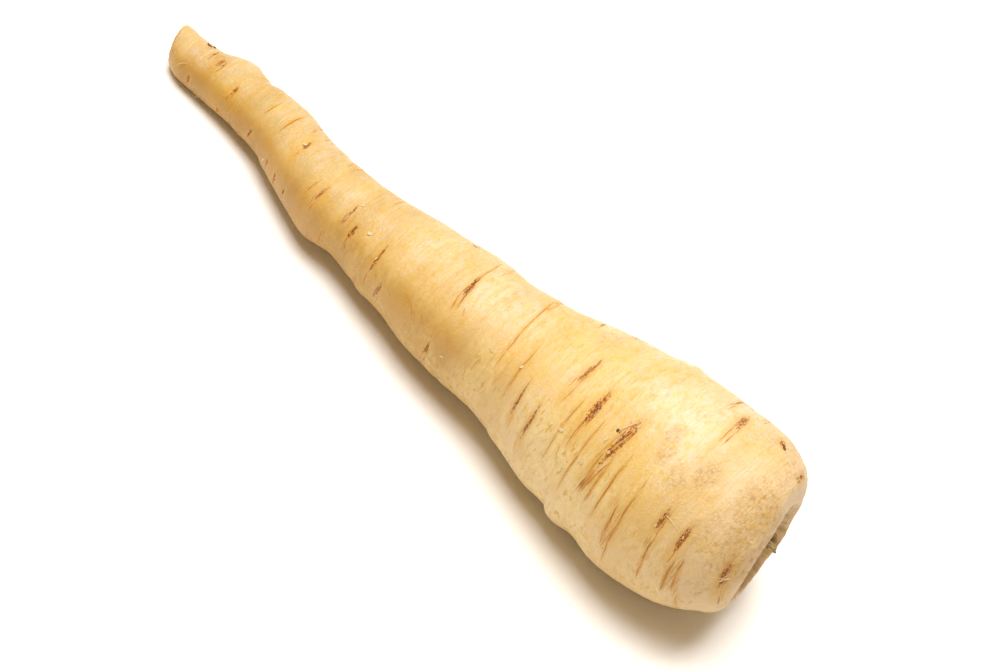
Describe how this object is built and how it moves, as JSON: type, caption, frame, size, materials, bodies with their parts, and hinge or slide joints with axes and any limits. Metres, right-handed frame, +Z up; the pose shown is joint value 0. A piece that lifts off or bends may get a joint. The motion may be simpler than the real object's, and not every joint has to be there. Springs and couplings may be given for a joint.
{
  "type": "parsnip",
  "caption": "Whole parsnip root lying on its side: thick shoulders with a hollow crown and leaf-stalk stubs, tapering in a slight S-bend to a slanting cut tip.",
  "frame": {"origin": "middle of the parsnip's box, on the surface that it rests on", "axes": "+X along the root from the cut tip to the crown, +Z up as it lies"},
  "size_m": [0.223, 0.0558, 0.0571],
  "materials": {
    "root_skin": "satin",
    "stub_skin": "matte"
  },
  "bodies": {
    "root": {"root": "root_skin", "leaf_stubs": "stub_skin"}
  },
  "joints": []
}
